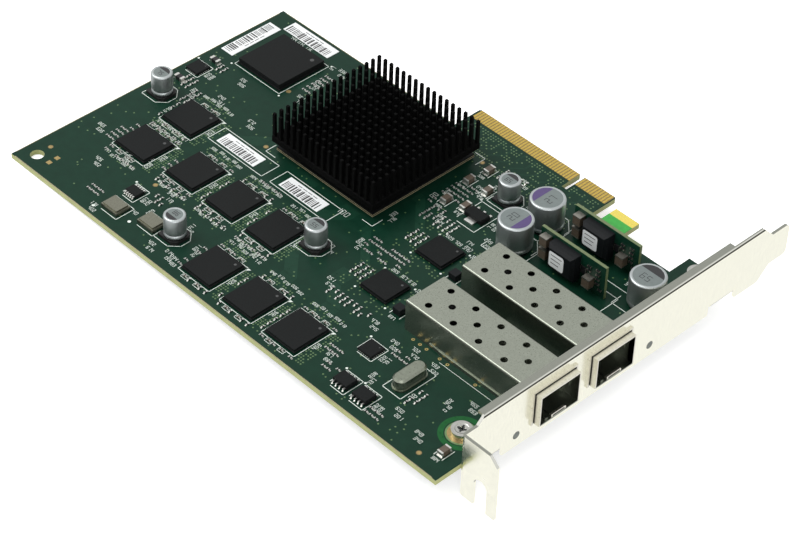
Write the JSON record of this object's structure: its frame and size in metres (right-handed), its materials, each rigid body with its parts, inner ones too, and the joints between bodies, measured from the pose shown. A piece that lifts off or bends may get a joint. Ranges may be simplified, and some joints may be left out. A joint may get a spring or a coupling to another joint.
{
  "type": "network interface card",
  "caption": "Dual-port network interface card for an edge-connector slot, with a pin heat sink, two module cages and a full-height mounting bracket.",
  "frame": {"origin": "middle of the edge connector's key notch, on the connector's lower edge and on the component face of the board", "axes": "+X along the board towards the bracket, +Y down into the slot, +Z out of the component face; the card lies flat with its components up"},
  "size_m": [0.1807, 0.1283, 0.0227],
  "materials": {
    "plated_steel": "bright nickel-plated steel sheet",
    "screw_steel": "bright nickel-plated steel",
    "package_black": "dark moulded epoxy",
    "cage_metal": "tin-plated sheet metal",
    "ceramic_brown": "fired brown ceramic with tinned ends",
    "resistor_black": "black glazed thick-film resistor",
    "can_metal": "drawn and plated metal can",
    "gold_plating": "bright hard-gold plating",
    "sink_aluminium": "black anodised aluminium",
    "label_paper": "blank white label paper",
    "base_plastic": "black moulded plastic",
    "can_aluminium": "drawn aluminium can",
    "ferrite": "dark pressed ferrite",
    "solder_mask": "semi-gloss green solder mask over glass-epoxy laminate",
    "gasket_rubber": "dark conductive gasket",
    "clear_plastic": "clear moulded light pipe",
    "socket_plastic": "black moulded plastic",
    "tinned_copper": "tinned copper pins",
    "pad_grey": "soft grey thermal pad"
  },
  "bodies": {
    "root": {"bracket": "plated_steel", "bracket_screws": "screw_steel", "bridge_chip": "package_black", "cage_base_a": "cage_metal", "cage_base_b": "cage_metal", "chip_capacitors": "ceramic_brown", "chip_resistors": "resistor_black", "clock_chip": "package_black", "controller": "package_black", "corner_chip": "package_black", "crystal": "can_metal", "driver_chip": "package_black", "edge_contacts": "gold_plating", "eeprom_chip_1": "package_black", "eeprom_chip_2": "package_black", "filter_capacitors": "ceramic_brown", "heat_sink": "sink_aluminium", "labels": "label_paper", "large_capacitor_bases": "base_plastic", "large_capacitors": "can_aluminium", "line_chokes": "ferrite", "memory_chip_1": "package_black", "memory_chip_2": "package_black", "memory_chip_3": "package_black", "memory_chip_4": "package_black", "memory_chip_5": "package_black", "memory_chip_6": "package_black", "memory_chip_7": "package_black", "memory_chip_8": "package_black", "oscillator_1": "can_metal", "oscillator_2": "can_metal", "pcb": "solder_mask", "phy_chip_a": "package_black", "phy_chip_b": "package_black", "port_gasket_a": "gasket_rubber", "port_gasket_b": "gasket_rubber", "port_lights": "clear_plastic", "regulator": "package_black", "sfp_cage_a": "cage_metal", "sfp_cage_b": "cage_metal", "sfp_socket_a": "socket_plastic", "sfp_socket_b": "socket_plastic", "small_capacitor_bases": "base_plastic", "small_capacitors": "can_aluminium", "supply_board_1": "solder_mask", "supply_board_2": "solder_mask", "supply_capacitors_1": "ceramic_brown", "supply_capacitors_2": "ceramic_brown", "supply_choke_1": "ferrite", "supply_choke_2": "ferrite", "supply_pins_1": "tinned_copper", "supply_pins_2": "tinned_copper", "thermal_pad": "pad_grey"}
  },
  "joints": []
}
